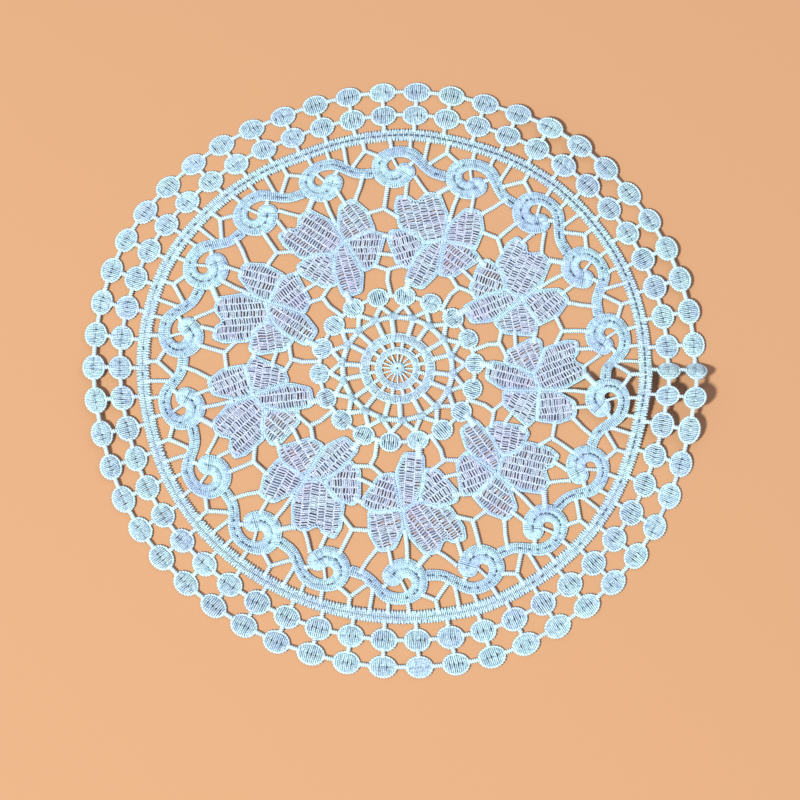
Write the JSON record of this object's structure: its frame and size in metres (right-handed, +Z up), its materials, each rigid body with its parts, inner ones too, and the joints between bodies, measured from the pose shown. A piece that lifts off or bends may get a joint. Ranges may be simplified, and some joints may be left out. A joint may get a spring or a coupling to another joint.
{
  "type": "round crochet lace table mat",
  "caption": "Round openwork lace mat with leaf sprigs, scrolls and a beaded rim, lying flat with one soft raised fold.",
  "frame": {"origin": "on the table, under the middle of the mat's box", "axes": "+Z up out of the table, +X to the right of the picture through the raised fold, +Y to its far side"},
  "size_m": [0.2956, 0.301, 0.011],
  "materials": {
    "lace_thread": "pale ice-blue twisted thread with a soft sheen"
  },
  "bodies": {
    "root": {"mat": "lace_thread"}
  },
  "joints": []
}
